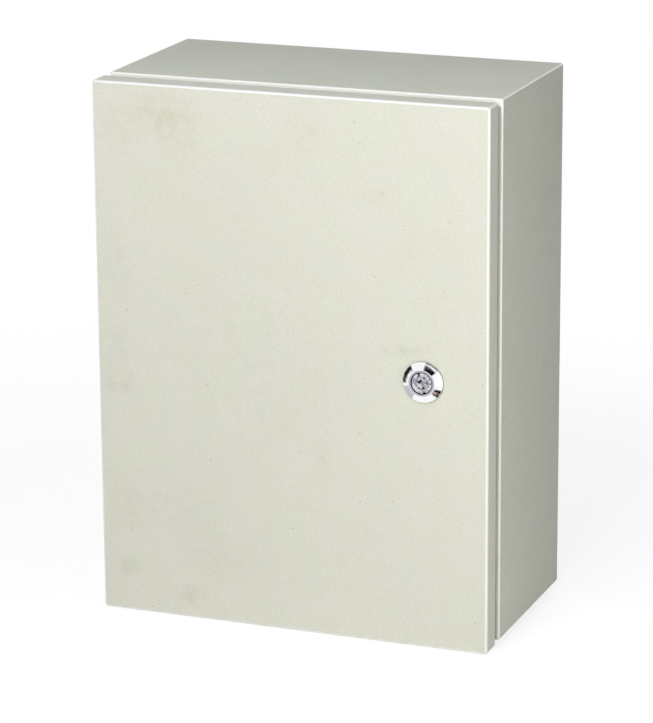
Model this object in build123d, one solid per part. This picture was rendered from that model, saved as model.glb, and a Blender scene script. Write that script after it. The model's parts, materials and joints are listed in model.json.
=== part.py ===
from build123d import *
import os

# A wall-mounted electrical cabinet: a folded sheet-steel body, one hinged door with a
# quarter-turn lock, a mounting plate inside and a gland plate in the floor.
# X runs to the right, Y runs back into the wall and Z runs up. All sizes are in mm.
# The origin lies on the wall face of the back, at the centre of its four fixing holes.

# Body shell, folded and welded from one thickness of sheet.
body_width = 300.0
body_height = 400.0
body_depth = 140.0
body_sheet = 1.2
body_corner_radius = 1.8
body_front_bend = 1.5
body_back_bend = 1.7

# Front frame: a flange folded inwards, then a sealing lip folded forwards.
flange_width = 17.0
lip_height = 10.0
lip_corner_radius = 6.0

# Fixing holes through the back, for screws into the wall.
wall_hole_radius = 4.5
wall_hole_edge = 25.0

# Door pan. It hangs a little low and to the left, so the flange shows above and beside it.
door_sheet = 1.5
door_depth = 18.0
door_gap = 3.0
door_corner_radius = 2.6
door_bend_radius = 2.2
reveal_right = 2.4
reveal_top = 2.3
overhang_left = 5.0
overhang_bottom = 4.2

# Foamed seal on the inside of the door.
seal_width = 10.0
seal_gap = 0.3
seal_edge_radius = 2.0

# Concealed hinges.
hinge_edge = 60.0
hinge_axis_inset = 2.5
knuckle_radius = 4.0
knuckle_gap = 0.3
body_knuckle_length = 16.0
door_knuckle_length = 12.0
pin_radius = 2.0
pin_clearance = 0.05
pin_head_radius = 3.2
pin_head_height = 1.5
pin_tail = 1.5
body_leaf_thickness = 2.0
body_leaf_inset = 3.5
leaf_edge_clearance = 0.6
arm_thickness = 2.5
door_leaf_thickness = 1.5
door_leaf_height = 68.0
leaf_clearance = 0.5
leaf_seal_clearance = 1.0
notch_clearance = 2.0
door_leaf_side_gap = 1.7

# Countersunk screws that hold the hinges to the front flange.
hinge_screw_radius = 2.0
hinge_screw_head_radius = 3.7
hinge_screw_head_height = 1.6
hinge_screw_spacing = 26.0
hinge_screw_edge = 4.4
hinge_screw_end = 7.0
hinge_screw_tail = 1.0
hinge_nut_flats = 7.0
hinge_nut_height = 3.2

# Welded studs that hold the hinges to the door.
door_stud_radius = 2.5
door_stud_end = 6.0
door_stud_offset = 2.0
door_stud_tail = 1.5
door_nut_flats = 8.0
door_nut_height = 4.0

# Quarter-turn lock.
lock_inset = 48.5
lock_height = 200.6
lock_head_radius = 15.0
lock_head_height = 4.2
lock_rim_height = 1.2
lock_face_radius = 9.7
lock_barrel_radius = 11.0
lock_hole_clearance = 0.25
lock_seal_radius = 14.6
lock_seal_thickness = 0.8
lock_nut_flats = 27.0
lock_nut_height = 5.0
plug_radius = 7.5
plug_groove = 0.8
plug_pocket_depth = 3.2
plug_recess = 0.5
plug_stem_radius = 6.0
plug_shoulder_gap = 0.1
plug_turn = 16.0
keyway_width = 2.4
keyway_depth = 2.0
core_pocket_radius = 4.9
core_clearance = 0.15
core_floor_depth = 2.0
core_disc_height = 0.8
core_bar_width = 2.0
core_bar_height = 0.9
core_bar_turn = 42.0
core_spur_length = 3.0
core_spur_offset = 2.6

# Cam on the back of the lock. It hangs down when unlocked and points right when locked.
cam_thickness = 2.5
cam_width = 14.0
cam_overlap = 10.0
cam_play = 0.5
cam_barrel_gap = 0.3
cam_square = 8.0
cam_square_clearance = 0.1
cam_shank_short = 0.2
cam_washer_radius = 8.0
cam_washer_height = 1.5
cam_screw_radius = 3.0
cam_screw_flats = 10.0
cam_screw_head_height = 4.0
cam_screw_depth = 10.0

# Mounting plate on four welded studs, held off the back by spacers.
plate_margin = 37.0
plate_thickness = 2.0
plate_corner_radius = 4.0
plate_stud_edge = 13.0
plate_stud_radius = 3.0
plate_stud_tail = 2.0
plate_spacer_length = 12.0
plate_spacer_radius = 6.0
plate_washer_radius = 6.25
plate_washer_height = 1.6
plate_nut_flats = 10.0
plate_nut_height = 5.0

# Gland plate over a cut-out in the floor, with two blind rubber grommets.
gland_opening_width = 170.0
gland_opening_depth = 56.0
gland_opening_radius = 5.0
gland_centre_from_wall = 65.0
gland_border = 14.0
gland_plate_thickness = 1.5
gland_seal_thickness = 2.0
gland_stud_radius = 2.5
gland_stud_tail = 1.0
gland_stud_columns = 3
gland_washer_radius = 5.0
gland_washer_height = 1.0
gland_nut_flats = 8.0
gland_nut_height = 4.0
grommet_hole_radius = 14.0
grommet_spacing = 80.0
grommet_rim = 4.0
grommet_rim_height = 2.2
grommet_bore_radius = 10.0
grommet_membrane = 1.0
grommet_clearance = 0.1

# Earthing studs, one on the right side wall and one on the door.
earth_stud_radius = 3.0
earth_stud_tail = 6.0
earth_washer_radius = 6.25
earth_washer_height = 1.6
earth_nut_flats = 10.0
earth_nut_height = 5.0
body_earth_from_wall = 16.0
body_earth_from_floor = 50.0
door_earth_inset = 45.0
door_earth_height = 42.0

# Clearances shared by all fasteners.
thread_clearance = 0.05
hole_clearance = 0.3

# Places worked out from the sizes above.
body_left = -body_width / 2
body_right = body_width / 2
body_bottom = -body_height / 2
body_top = body_height / 2
flange_front = -body_depth
flange_back = flange_front + body_sheet
back_inside = -body_sheet
floor_inside = body_bottom + body_sheet
lip_width = body_width - 2 * flange_width
lip_length = body_height - 2 * flange_width
lip_tip = flange_front - lip_height

door_left = body_left - overhang_left
door_right = body_right - reveal_right
door_bottom = body_bottom - overhang_bottom
door_top = body_top - reveal_top
door_width = door_right - door_left
door_height = door_top - door_bottom
door_back = flange_front - door_gap
door_front = door_back - door_depth
door_inside = door_front + door_sheet

hinge_x = body_left + hinge_axis_inset
hinge_y = door_inside + door_leaf_thickness + leaf_clearance + knuckle_radius
hinge_heights = {
    "upper": body_top - hinge_edge,
    "lower": body_bottom + hinge_edge,
}
body_leaf_height = hinge_screw_spacing + 2 * hinge_screw_end
knuckle_stack = body_knuckle_length / 2 + knuckle_gap + door_knuckle_length
body_leaf_right = body_left + flange_width - leaf_edge_clearance
hinge_screw_x = body_leaf_right - hinge_screw_edge
seal_left = body_left + flange_width + body_sheet / 2 - seal_width / 2
door_leaf_left = door_left + door_sheet + door_leaf_side_gap
door_leaf_right = seal_left - leaf_seal_clearance
door_stud_x = hinge_x + door_stud_offset

lock_x = door_right - lock_inset
lock_z = door_bottom + lock_height
lock_head_back = door_front - lock_seal_thickness
lock_head_front = lock_head_back - lock_head_height
cam_front = flange_back + cam_play
cam_back = cam_front + cam_thickness
barrel_back = cam_front - cam_barrel_gap
cam_reach = body_right - flange_width + cam_overlap - lock_x
plug_front = lock_head_front + plug_recess
pocket_floor = lock_head_front + plug_pocket_depth

plate_back = back_inside - plate_spacer_length
plate_front = plate_back - plate_thickness
plate_stud_x = body_width / 2 - plate_margin - plate_stud_edge
plate_stud_z = body_height / 2 - plate_margin - plate_stud_edge

gland_y = -gland_centre_from_wall
gland_opening = (gland_opening_width, gland_opening_depth, gland_opening_radius)
gland_outline = (
    gland_opening_width + 2 * gland_border,
    gland_opening_depth + 2 * gland_border,
    gland_opening_radius,
)
gland_seal_top = floor_inside + gland_seal_thickness
gland_plate_top = gland_seal_top + gland_plate_thickness
gland_stud_x = (gland_opening_width + gland_border) / 2
gland_stud_y = (gland_opening_depth + gland_border) / 2
gland_stud_places = [
    (-gland_stud_x + column * 2 * gland_stud_x / (gland_stud_columns - 1), gland_y + side * gland_stud_y)
    for column in range(gland_stud_columns)
    for side in (-1, 1)
]


def slab(width, height, corner_radius, y_front, y_back, x=0.0, z=0.0):
    """A rounded rectangle facing the front, from one Y to another."""
    face = Plane.XZ.offset(-y_back) * Pos(x, z) * RectangleRounded(width, height, corner_radius)
    return extrude(face, amount=y_back - y_front)


def layer(width, depth, corner_radius, z_low, z_high, x=0.0, y=0.0):
    """A rounded rectangle lying flat, from one Z to another."""
    face = Pos(x, y, z_low) * RectangleRounded(width, depth, corner_radius)
    return extrude(face, amount=z_high - z_low)


def block(x_low, x_high, y_low, y_high, z_low, z_high):
    """A plain box between six limits."""
    centre = Pos((x_low + x_high) / 2, (y_low + y_high) / 2, (z_low + z_high) / 2)
    return centre * Box(x_high - x_low, y_high - y_low, z_high - z_low)


def rod_y(radius, y_front, y_back, x=0.0, z=0.0):
    """A round bar along Y."""
    return Pos(x, (y_front + y_back) / 2, z) * Rot(90, 0, 0) * Cylinder(radius, y_back - y_front)


def rod_z(radius, z_low, z_high, x=0.0, y=0.0):
    """A round bar along Z."""
    return Pos(x, y, (z_low + z_high) / 2) * Cylinder(radius, z_high - z_low)


def rod_x(radius, x_low, x_high, y=0.0, z=0.0):
    """A round bar along X."""
    return Pos((x_low + x_high) / 2, y, z) * Rot(0, 90, 0) * Cylinder(radius, x_high - x_low)


def cone_y(front_radius, back_radius, y_front, y_back, x=0.0, z=0.0):
    """A cone along Y."""
    cone = Cone(back_radius, front_radius, y_back - y_front)
    return Pos(x, (y_front + y_back) / 2, z) * Rot(90, 0, 0) * cone


def hexagon_y(flats, y_front, y_back, x=0.0, z=0.0):
    """A hexagonal bar along Y."""
    face = Plane.XZ.offset(-y_back) * Pos(x, z) * RegularPolygon(flats / 2, 6, major_radius=False)
    return extrude(face, amount=y_back - y_front)


def nut_y(flats, bore_radius, y_front, y_back, x=0.0, z=0.0):
    """A nut on a stud that runs along Y."""
    return hexagon_y(flats, y_front, y_back, x, z) - rod_y(bore_radius, y_front, y_back, x, z)


def washer_y(radius, bore_radius, y_front, y_back, x=0.0, z=0.0):
    """A washer or sleeve on a stud that runs along Y."""
    return rod_y(radius, y_front, y_back, x, z) - rod_y(bore_radius, y_front, y_back, x, z)


def bent_block(width, height, corner_radius, front_bend, back_bend, y_front, y_back, x=0.0, z=0.0):
    """A slab whose front and back rims are rounded like folded sheet; a bend of 0 stays square."""
    whole = slab(width, height, corner_radius, y_front, y_back, x, z)
    whole = fillet(whole.faces().sort_by(Axis.Y)[0].edges(), front_bend)
    if back_bend:
        whole = fillet(whole.faces().sort_by(Axis.Y)[-1].edges(), back_bend)
    return whole


def make_cabinet_body():
    """The welded shell with its front frame, fixing holes and floor cut-out."""
    body = bent_block(
        body_width, body_height, body_corner_radius, body_front_bend, body_back_bend, flange_front, 0.0
    )
    body -= bent_block(
        body_width - 2 * body_sheet,
        body_height - 2 * body_sheet,
        body_corner_radius - body_sheet,
        body_front_bend - body_sheet,
        body_back_bend - body_sheet,
        flange_back,
        back_inside,
    )
    lip_inner_width = lip_width - 2 * body_sheet
    lip_inner_length = lip_length - 2 * body_sheet
    lip_inner_radius = lip_corner_radius - body_sheet
    body += slab(lip_width, lip_length, lip_corner_radius, lip_tip, flange_back)
    body -= slab(lip_inner_width, lip_inner_length, lip_inner_radius, lip_tip, flange_back)
    for x in (body_left + wall_hole_edge, body_right - wall_hole_edge):
        for z in (body_bottom + wall_hole_edge, body_top - wall_hole_edge):
            body -= rod_y(wall_hole_radius, back_inside, 0.0, x, z)
    body -= layer(*gland_opening, body_bottom, floor_inside, 0.0, gland_y)
    for x, z in hinge_screw_places():
        body -= rod_y(hinge_screw_radius + hole_clearance, flange_front, flange_back, x, z)
    return body


def hinge_screw_places():
    """Where the countersunk screws pass through the front flange."""
    return [
        (hinge_screw_x, height + side * hinge_screw_spacing / 2)
        for height in hinge_heights.values()
        for side in (-1, 1)
    ]


def door_stud_places():
    """Where the hinge studs stand on the inside of the door."""
    reach = door_leaf_height / 2 - door_stud_end
    return [(door_stud_x, height + side * reach) for height in hinge_heights.values() for side in (-1, 1)]


def make_door_panel():
    """The door pan, notched at the hinges and bored for the lock."""
    middle = ((door_left + door_right) / 2, (door_bottom + door_top) / 2)
    door = bent_block(
        door_width, door_height, door_corner_radius, door_bend_radius, 0.0, door_front, door_back, *middle
    )
    door -= bent_block(
        door_width - 2 * door_sheet,
        door_height - 2 * door_sheet,
        door_corner_radius - door_sheet,
        door_bend_radius - door_sheet,
        0.0,
        door_inside,
        door_back,
        *middle,
    )
    notch_half = body_leaf_height / 2 + notch_clearance
    for height in hinge_heights.values():
        door -= block(
            door_left,
            door_left + door_sheet,
            door_front + door_bend_radius,
            door_back,
            height - notch_half,
            height + notch_half,
        )
    door -= rod_y(lock_barrel_radius + lock_hole_clearance, door_front, door_inside, lock_x, lock_z)
    return door


def make_door_gasket():
    """The seal: a closed ring that the lip meets along its middle."""
    middle_width = lip_width - body_sheet
    middle_length = lip_length - body_sheet
    middle_radius = lip_corner_radius - body_sheet / 2
    seal_tip = lip_tip - seal_gap
    outer = slab(
        middle_width + seal_width,
        middle_length + seal_width,
        middle_radius + seal_width / 2,
        door_inside,
        seal_tip,
    )
    inner_radius = max(middle_radius - seal_width / 2, seal_edge_radius / 2)
    ring = outer - slab(
        middle_width - seal_width, middle_length - seal_width, inner_radius, door_inside, seal_tip
    )
    outer_rim = ring.faces().sort_by(Axis.Y)[-1].outer_wire().edges()
    return fillet(outer_rim, seal_edge_radius)


def make_body_leaf(height):
    """The fixed half of a hinge: a plate on the flange and an arm to the middle knuckle."""
    leaf_front = flange_front - body_leaf_thickness
    half_leaf = body_leaf_height / 2
    low = height - body_knuckle_length / 2
    high = height + body_knuckle_length / 2
    arm_right = hinge_x + knuckle_radius
    leaf = block(
        body_left + body_leaf_inset,
        body_leaf_right,
        leaf_front,
        flange_front,
        height - half_leaf,
        height + half_leaf,
    )
    leaf += block(arm_right - arm_thickness, arm_right, hinge_y, leaf_front, low, high)
    leaf += rod_z(knuckle_radius, low, high, hinge_x, hinge_y)
    leaf -= rod_z(pin_radius + pin_clearance, low, high, hinge_x, hinge_y)
    hole = hinge_screw_radius + thread_clearance
    sink = hinge_screw_head_radius + thread_clearance
    for side in (-1, 1):
        z = height + side * hinge_screw_spacing / 2
        leaf -= rod_y(hole, leaf_front, flange_front, hinge_screw_x, z)
        leaf -= cone_y(sink, hole, leaf_front, leaf_front + hinge_screw_head_height, hinge_screw_x, z)
    return leaf


def make_door_leaf(height):
    """The moving half of a hinge: a plate on the door with an upper and a lower knuckle."""
    half_leaf = door_leaf_height / 2
    leaf_top = door_inside + door_leaf_thickness
    leaf = block(
        door_leaf_left, door_leaf_right, door_inside, leaf_top, height - half_leaf, height + half_leaf
    )
    for side in (-1, 1):
        near = height + side * (body_knuckle_length / 2 + knuckle_gap)
        far = height + side * knuckle_stack
        low = min(near, far)
        high = max(near, far)
        leaf += block(hinge_x - knuckle_radius, hinge_x + knuckle_radius, leaf_top, hinge_y, low, high)
        leaf += rod_z(knuckle_radius, low, high, hinge_x, hinge_y)
        leaf -= rod_z(pin_radius + pin_clearance, low, high, hinge_x, hinge_y)
        stud_z = height + side * (half_leaf - door_stud_end)
        leaf -= rod_y(door_stud_radius + hole_clearance, door_inside, leaf_top, door_stud_x, stud_z)
    return leaf


def make_hinge_pin(height):
    """A headed pin, dropped in from above."""
    top = height + knuckle_stack
    pin = rod_z(pin_radius, height - knuckle_stack - pin_tail, top, hinge_x, hinge_y)
    pin += rod_z(pin_head_radius, top, top + pin_head_height, hinge_x, hinge_y)
    return pin


def make_hinge_screws():
    """Countersunk screws through the fixed leaves and the flange."""
    front = flange_front - body_leaf_thickness
    neck = front + hinge_screw_head_height
    tip = flange_back + hinge_nut_height + hinge_screw_tail
    screws = []
    for x, z in hinge_screw_places():
        screw = rod_y(hinge_screw_radius, front, tip, x, z)
        screw += cone_y(hinge_screw_head_radius, hinge_screw_radius, front, neck, x, z)
        screws.append(screw)
    return screws


def make_hinge_nuts():
    """Nuts behind the flange."""
    bore = hinge_screw_radius + thread_clearance
    back = flange_back + hinge_nut_height
    return [nut_y(hinge_nut_flats, bore, flange_back, back, x, z) for x, z in hinge_screw_places()]


def make_door_hinge_studs():
    """Studs welded to the inside of the door."""
    tip = door_inside + door_leaf_thickness + door_nut_height + door_stud_tail
    return [rod_y(door_stud_radius, door_inside, tip, x, z) for x, z in door_stud_places()]


def make_door_hinge_nuts():
    """Nuts that clamp the moving leaves."""
    bore = door_stud_radius + thread_clearance
    front = door_inside + door_leaf_thickness
    back = front + door_nut_height
    return [nut_y(door_nut_flats, bore, front, back, x, z) for x, z in door_stud_places()]


def make_lock_seal():
    """A thin rubber ring under the lock head."""
    bore = lock_barrel_radius + lock_hole_clearance
    return washer_y(lock_seal_radius, bore, lock_head_back, door_front, lock_x, lock_z)


def make_lock_housing():
    """The lock case: a bevelled head outside the door and a barrel through it."""
    rim_front = lock_head_back - lock_rim_height
    housing = rod_y(lock_head_radius, rim_front, lock_head_back, lock_x, lock_z)
    housing += cone_y(lock_face_radius, lock_head_radius, lock_head_front, rim_front, lock_x, lock_z)
    housing += rod_y(lock_barrel_radius, lock_head_back, barrel_back, lock_x, lock_z)
    housing -= rod_y(plug_radius + plug_groove, lock_head_front, pocket_floor, lock_x, lock_z)
    housing -= rod_y(plug_stem_radius + pin_clearance, pocket_floor, barrel_back, lock_x, lock_z)
    return housing


def make_lock_nut():
    """The large nut that clamps the lock from inside the door."""
    bore = lock_barrel_radius + thread_clearance
    return nut_y(lock_nut_flats, bore, door_inside, door_inside + lock_nut_height, lock_x, lock_z)


def make_lock_plug():
    """The part that the key turns: a notched front disc, a stem and a square shank."""
    disc_back = pocket_floor - plug_shoulder_gap
    plug = rod_y(plug_radius, plug_front, disc_back)
    plug += rod_y(plug_stem_radius, disc_back, barrel_back)
    half_square = cam_square / 2
    shank_back = cam_back - cam_shank_short
    shank = block(-half_square, half_square, barrel_back, shank_back, -half_square, half_square)
    plug -= rod_y(core_pocket_radius, plug_front, plug_front + core_floor_depth)
    half_keyway = keyway_width / 2
    keyway_back = plug_front + keyway_depth
    plug -= block(-half_keyway, half_keyway, plug_front, keyway_back, -plug_radius, plug_radius)
    plug = Rot(0, -plug_turn, 0) * plug + shank
    plug -= rod_y(cam_screw_radius + thread_clearance, cam_back - cam_screw_depth, shank_back)
    return Pos(lock_x, 0, lock_z) * plug


def make_lock_core():
    """The disc at the bottom of the keyhole, with the raised bar that the key fits over."""
    radius = core_pocket_radius - core_clearance
    floor = plug_front + core_floor_depth
    disc_front = floor - core_disc_height
    bar_front = disc_front - core_bar_height
    half_width = core_bar_width / 2
    disc = rod_y(radius, disc_front, floor)
    bar = block(-radius, radius, bar_front, disc_front, -half_width, half_width)
    for side in (-1, 1):
        x = side * core_spur_offset
        z_far = side * core_spur_length
        bar += block(
            x - half_width, x + half_width, bar_front, disc_front, min(0.0, z_far), max(0.0, z_far)
        )
    bar = bar & rod_y(radius, bar_front, disc_front)
    return Pos(lock_x, 0, lock_z) * (disc + Rot(0, -core_bar_turn, 0) * bar)


def make_lock_cam():
    """The cam: a flat bar with a rounded end and a square hole, hanging down when unlocked."""
    half_width = cam_width / 2
    cam = block(-half_width, half_width, cam_front, cam_back, -cam_reach + half_width, 0.0)
    cam += rod_y(half_width, cam_front, cam_back)
    cam += rod_y(half_width, cam_front, cam_back, 0.0, -cam_reach + half_width)
    half_hole = cam_square / 2 + cam_square_clearance
    cam -= block(-half_hole, half_hole, cam_front, cam_back, -half_hole, half_hole)
    return Pos(lock_x, 0, lock_z) * cam


def make_cam_washer():
    """The washer behind the cam."""
    bore = cam_screw_radius + thread_clearance
    return washer_y(cam_washer_radius, bore, cam_back, cam_back + cam_washer_height, lock_x, lock_z)


def make_cam_screw():
    """The hexagon screw that holds the cam on its shank."""
    head_front = cam_back + cam_washer_height
    screw = hexagon_y(cam_screw_flats, head_front, head_front + cam_screw_head_height, lock_x, lock_z)
    screw += rod_y(cam_screw_radius, cam_back - cam_screw_depth, head_front, lock_x, lock_z)
    return screw


def plate_stud_places():
    """The four corners of the mounting plate's stud pattern."""
    return [(x, z) for x in (-plate_stud_x, plate_stud_x) for z in (-plate_stud_z, plate_stud_z)]


def make_mounting_plate():
    """The flat plate that carries the switchgear."""
    width = body_width - 2 * plate_margin
    height = body_height - 2 * plate_margin
    plate = slab(width, height, plate_corner_radius, plate_front, plate_back)
    for x, z in plate_stud_places():
        plate -= rod_y(plate_stud_radius + hole_clearance, plate_front, plate_back, x, z)
    return plate


def make_plate_studs():
    """Studs welded to the inside of the back."""
    tip = plate_front - plate_washer_height - plate_nut_height - plate_stud_tail
    return [rod_y(plate_stud_radius, tip, back_inside, x, z) for x, z in plate_stud_places()]


def make_plate_spacers():
    """Sleeves between the back and the mounting plate."""
    bore = plate_stud_radius + hole_clearance
    places = plate_stud_places()
    return [washer_y(plate_spacer_radius, bore, plate_back, back_inside, x, z) for x, z in places]


def make_plate_washers():
    """Washers in front of the mounting plate."""
    bore = plate_stud_radius + hole_clearance
    front = plate_front - plate_washer_height
    return [washer_y(plate_washer_radius, bore, front, plate_front, x, z) for x, z in plate_stud_places()]


def make_plate_nuts():
    """Nuts that clamp the mounting plate."""
    bore = plate_stud_radius + thread_clearance
    back = plate_front - plate_washer_height
    front = back - plate_nut_height
    return [nut_y(plate_nut_flats, bore, front, back, x, z) for x, z in plate_stud_places()]


def make_gland_gasket():
    """A flat rubber frame between the floor and the gland plate."""
    seal = layer(*gland_outline, floor_inside, gland_seal_top, 0.0, gland_y)
    seal -= layer(*gland_opening, floor_inside, gland_seal_top, 0.0, gland_y)
    for x, y in gland_stud_places:
        seal -= rod_z(gland_stud_radius + hole_clearance, floor_inside, gland_seal_top, x, y)
    return seal


def make_gland_plate():
    """The plate over the floor cut-out, with two round cable holes."""
    plate = layer(*gland_outline, gland_seal_top, gland_plate_top, 0.0, gland_y)
    for x, y in gland_stud_places:
        plate -= rod_z(gland_stud_radius + hole_clearance, gland_seal_top, gland_plate_top, x, y)
    for side in (-1, 1):
        x = side * grommet_spacing / 2
        plate -= rod_z(grommet_hole_radius, gland_seal_top, gland_plate_top, x, gland_y)
    return plate


def make_gland_studs():
    """Studs welded to the floor around its cut-out."""
    tip = gland_plate_top + gland_washer_height + gland_nut_height + gland_stud_tail
    return [rod_z(gland_stud_radius, floor_inside, tip, x, y) for x, y in gland_stud_places]


def make_gland_washers():
    """Washers on the gland plate."""
    top = gland_plate_top + gland_washer_height
    bore = gland_stud_radius + hole_clearance
    return [
        rod_z(gland_washer_radius, gland_plate_top, top, x, y) - rod_z(bore, gland_plate_top, top, x, y)
        for x, y in gland_stud_places
    ]


def make_gland_nuts():
    """Nuts that clamp the gland plate."""
    low = gland_plate_top + gland_washer_height
    bore = gland_stud_radius + thread_clearance
    nuts = []
    for x, y in gland_stud_places:
        face = Pos(x, y, low) * RegularPolygon(gland_nut_flats / 2, 6, major_radius=False)
        nuts.append(extrude(face, amount=gland_nut_height) - rod_z(bore, low, low + gland_nut_height, x, y))
    return nuts


def make_cable_grommets():
    """Rubber grommets whose membranes stay closed until a cable is pushed through."""
    outer = grommet_hole_radius + grommet_rim
    waist = grommet_hole_radius - grommet_clearance
    top = gland_plate_top + grommet_rim_height
    bottom = gland_seal_top - grommet_rim_height
    grommets = []
    for side in (-1, 1):
        x = side * grommet_spacing / 2
        grommet = rod_z(outer, gland_plate_top, top, x, gland_y)
        grommet += rod_z(waist, gland_seal_top, gland_plate_top, x, gland_y)
        grommet += rod_z(outer, bottom, gland_seal_top, x, gland_y)
        grommet -= rod_z(grommet_bore_radius, bottom + grommet_membrane, top, x, gland_y)
        grommets.append(grommet)
    return grommets


def body_earth_place():
    """Y and Z of the earthing stud on the right side wall."""
    return -body_earth_from_wall, floor_inside + body_earth_from_floor


def make_body_earth_stud():
    """A stud welded to the inside of the right wall."""
    y, z = body_earth_place()
    wall = body_right - body_sheet
    tip = wall - earth_washer_height - earth_nut_height - earth_stud_tail
    return rod_x(earth_stud_radius, tip, wall, y, z)


def make_body_earth_washer():
    """The washer on the wall stud."""
    y, z = body_earth_place()
    wall = body_right - body_sheet
    low = wall - earth_washer_height
    return rod_x(earth_washer_radius, low, wall, y, z) - rod_x(
        earth_stud_radius + hole_clearance, low, wall, y, z
    )


def make_body_earth_nut():
    """The nut on the wall stud."""
    y, z = body_earth_place()
    high = body_right - body_sheet - earth_washer_height
    low = high - earth_nut_height
    face = Plane.YZ.offset(low) * Pos(y, z) * RegularPolygon(earth_nut_flats / 2, 6, major_radius=False)
    return extrude(face, amount=earth_nut_height) - rod_x(
        earth_stud_radius + thread_clearance, low, high, y, z
    )


def door_earth_place():
    """X and Z of the earthing stud on the door."""
    return door_left + door_earth_inset, door_bottom + door_earth_height


def make_door_earth_stud():
    """A stud welded to the inside of the door."""
    x, z = door_earth_place()
    tip = door_inside + earth_washer_height + earth_nut_height + earth_stud_tail
    return rod_y(earth_stud_radius, door_inside, tip, x, z)


def make_door_earth_washer():
    """The washer on the door stud."""
    x, z = door_earth_place()
    back = door_inside + earth_washer_height
    return washer_y(earth_washer_radius, earth_stud_radius + hole_clearance, door_inside, back, x, z)


def make_door_earth_nut():
    """The nut on the door stud."""
    x, z = door_earth_place()
    front = door_inside + earth_washer_height
    bore = earth_stud_radius + thread_clearance
    return nut_y(earth_nut_flats, bore, front, front + earth_nut_height, x, z)


def make_nodes():
    """Every piece by name; a list holds identical fasteners."""
    nodes = {
        "cabinet_body": make_cabinet_body(),
        "door_panel": make_door_panel(),
        "door_gasket": make_door_gasket(),
        "hinge_screws": make_hinge_screws(),
        "hinge_nuts": make_hinge_nuts(),
        "door_hinge_studs": make_door_hinge_studs(),
        "door_hinge_nuts": make_door_hinge_nuts(),
        "lock_seal": make_lock_seal(),
        "lock_housing": make_lock_housing(),
        "lock_nut": make_lock_nut(),
        "lock_plug": make_lock_plug(),
        "lock_core": make_lock_core(),
        "lock_cam": make_lock_cam(),
        "cam_washer": make_cam_washer(),
        "cam_screw": make_cam_screw(),
        "mounting_plate": make_mounting_plate(),
        "plate_studs": make_plate_studs(),
        "plate_spacers": make_plate_spacers(),
        "plate_washers": make_plate_washers(),
        "plate_nuts": make_plate_nuts(),
        "gland_gasket": make_gland_gasket(),
        "gland_plate": make_gland_plate(),
        "gland_studs": make_gland_studs(),
        "gland_washers": make_gland_washers(),
        "gland_nuts": make_gland_nuts(),
        "cable_grommets": make_cable_grommets(),
        "body_earth_stud": make_body_earth_stud(),
        "body_earth_washer": make_body_earth_washer(),
        "body_earth_nut": make_body_earth_nut(),
        "door_earth_stud": make_door_earth_stud(),
        "door_earth_washer": make_door_earth_washer(),
        "door_earth_nut": make_door_earth_nut(),
    }
    for side, height in hinge_heights.items():
        nodes[side + "_hinge_body_leaf"] = make_body_leaf(height)
        nodes[side + "_hinge_door_leaf"] = make_door_leaf(height)
        nodes[side + "_hinge_pin"] = make_hinge_pin(height)
    return nodes


def write_nodes(nodes):
    """One STEP file for each piece or group of fasteners."""
    os.makedirs("parts", exist_ok=True)
    for name, shape in nodes.items():
        solids = shape if isinstance(shape, list) else [shape]
        solids = [solid for item in solids for solid in item.solids()]
        whole = Compound(children=solids) if len(solids) > 1 else solids[0]
        export_step(whole, os.path.join("parts", name + ".step"))


write_nodes(make_nodes())
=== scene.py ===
import json
import math

import bmesh
import bpy
from bpy.props import FloatProperty, FloatVectorProperty, PointerProperty
from bpy.types import Operator, Panel, PropertyGroup
from mathutils import Matrix, Quaternion, Vector

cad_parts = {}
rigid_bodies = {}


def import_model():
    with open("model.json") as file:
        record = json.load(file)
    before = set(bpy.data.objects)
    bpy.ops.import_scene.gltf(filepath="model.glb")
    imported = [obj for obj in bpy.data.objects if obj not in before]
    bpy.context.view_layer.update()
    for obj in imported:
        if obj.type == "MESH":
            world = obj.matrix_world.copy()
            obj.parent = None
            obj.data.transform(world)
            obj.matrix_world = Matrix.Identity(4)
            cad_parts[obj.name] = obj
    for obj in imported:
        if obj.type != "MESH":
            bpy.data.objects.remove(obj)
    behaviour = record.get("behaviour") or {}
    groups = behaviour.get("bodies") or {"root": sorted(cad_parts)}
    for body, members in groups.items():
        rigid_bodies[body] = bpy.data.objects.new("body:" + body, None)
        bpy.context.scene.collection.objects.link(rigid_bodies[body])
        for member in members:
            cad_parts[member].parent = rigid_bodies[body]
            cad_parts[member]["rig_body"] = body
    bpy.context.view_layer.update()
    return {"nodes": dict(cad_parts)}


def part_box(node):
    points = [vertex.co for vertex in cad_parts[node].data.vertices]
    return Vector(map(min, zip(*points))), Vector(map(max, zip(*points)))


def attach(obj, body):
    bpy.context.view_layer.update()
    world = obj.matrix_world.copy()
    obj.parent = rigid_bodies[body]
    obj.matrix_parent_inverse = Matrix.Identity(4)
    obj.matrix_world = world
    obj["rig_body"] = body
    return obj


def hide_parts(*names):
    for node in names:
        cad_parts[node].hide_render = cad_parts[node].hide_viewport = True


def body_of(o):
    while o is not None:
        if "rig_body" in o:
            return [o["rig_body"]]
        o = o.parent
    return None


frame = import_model()

bl_info = {
    "name": "Electrical Cabinet",
    "version": (1, 0, 0),
    "blender": (4, 5, 0),
    "location": "View3D > Sidebar > Cabinet",
    "description": "Dresses a wall-mounted sheet-steel electrical cabinet and sets its studio",
    "category": "Object",
}

MM = 0.001

# Places read from the frame, in metres.
BODY_LOW, BODY_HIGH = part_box("cabinet_body")
DOOR_LOW, DOOR_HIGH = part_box("door_panel")
LOCK_LOW, LOCK_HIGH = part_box("lock_housing")
LOCK_CENTRE = Vector(((LOCK_LOW.x + LOCK_HIGH.x) / 2, LOCK_LOW.y, (LOCK_LOW.z + LOCK_HIGH.z) / 2))
LOCK_RADIUS = (LOCK_HIGH.x - LOCK_LOW.x) / 2

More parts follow.
